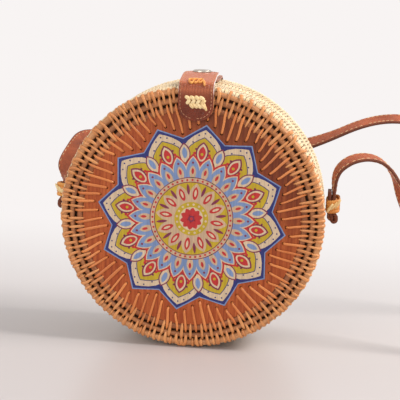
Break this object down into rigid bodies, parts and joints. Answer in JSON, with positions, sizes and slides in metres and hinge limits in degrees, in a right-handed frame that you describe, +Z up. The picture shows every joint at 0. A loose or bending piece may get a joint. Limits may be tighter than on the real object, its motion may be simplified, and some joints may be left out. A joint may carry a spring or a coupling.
{
  "type": "circle bag",
  "caption": "Round woven cane shoulder bag: hinged basket halves, a laced wooden front disc with a painted rosette, a leather snap closure and a long leather strap.",
  "frame": {"origin": "on the ground under the middle of the bag, at the seam", "axes": "+Z up, -Y out of the front panel, +X to the right seen from the front"},
  "size_m": [0.4633, 0.1559, 0.2098],
  "materials": {
    "straw_weave": "fine coiled straw weave",
    "hoop_cane": "smoked split cane",
    "strip_cane": "polished cane strips",
    "lashing_cane": "pale split cane",
    "disc_wood": "stained wood, satin, painted rosette",
    "leather": "brown leather, stitched edges",
    "lining_cloth": "plain cotton lining",
    "snap_metal": "nickel snap"
  },
  "bodies": {
    "rear_half": {"rear_panel": "straw_weave", "rear_corner_hoop": "hoop_cane", "rear_wall": "straw_weave", "rear_lip_hoop": "hoop_cane", "rear_lining": "lining_cloth", "rear_tab": "leather", "rear_tab_face_lashing": "lashing_cane", "rear_tab_top_lashing": "lashing_cane", "snap_stud": "snap_metal", "hinge_lashings": "lashing_cane", "strap_lashing_left": "lashing_cane", "strap_lashing_right": "lashing_cane", "strap_fold_left": "leather", "strap_fold_right": "leather", "strap_rear_run": "leather", "strap_loop": "leather", "strap_front_run": "leather"},
    "front_half": {"front_disc": "disc_wood", "front_inner_hoop": "hoop_cane", "front_middle_hoop": "hoop_cane", "front_corner_hoop": "hoop_cane", "front_wall": "straw_weave", "front_lip_hoop": "hoop_cane", "front_lining": "lining_cloth", "disc_lashings": "strip_cane", "middle_lashings": "strip_cane", "corner_lashings": "strip_cane", "front_tab": "leather", "front_tab_face_lashing": "lashing_cane", "front_tab_top_lashing": "lashing_cane"},
    "clasp_flap": {"clasp_flap": "leather", "snap_cap": "snap_metal", "snap_socket": "snap_metal"}
  },
  "joints": [
    {"name": "shell_hinge", "type": "hinge", "parent": "rear_half", "child": "front_half", "pos_m": [0, 0, 0.0008], "axis": [1, 0, 0], "range_deg": [0, 90], "deforming": ["hinge_lashings"]},
    {"name": "clasp_flap_lift", "type": "hinge", "parent": "front_half", "child": "clasp_flap", "pos_m": [0, -0.026, 0.20459], "axis": [1, 0, 0], "range_deg": [0, 95]}
  ]
}
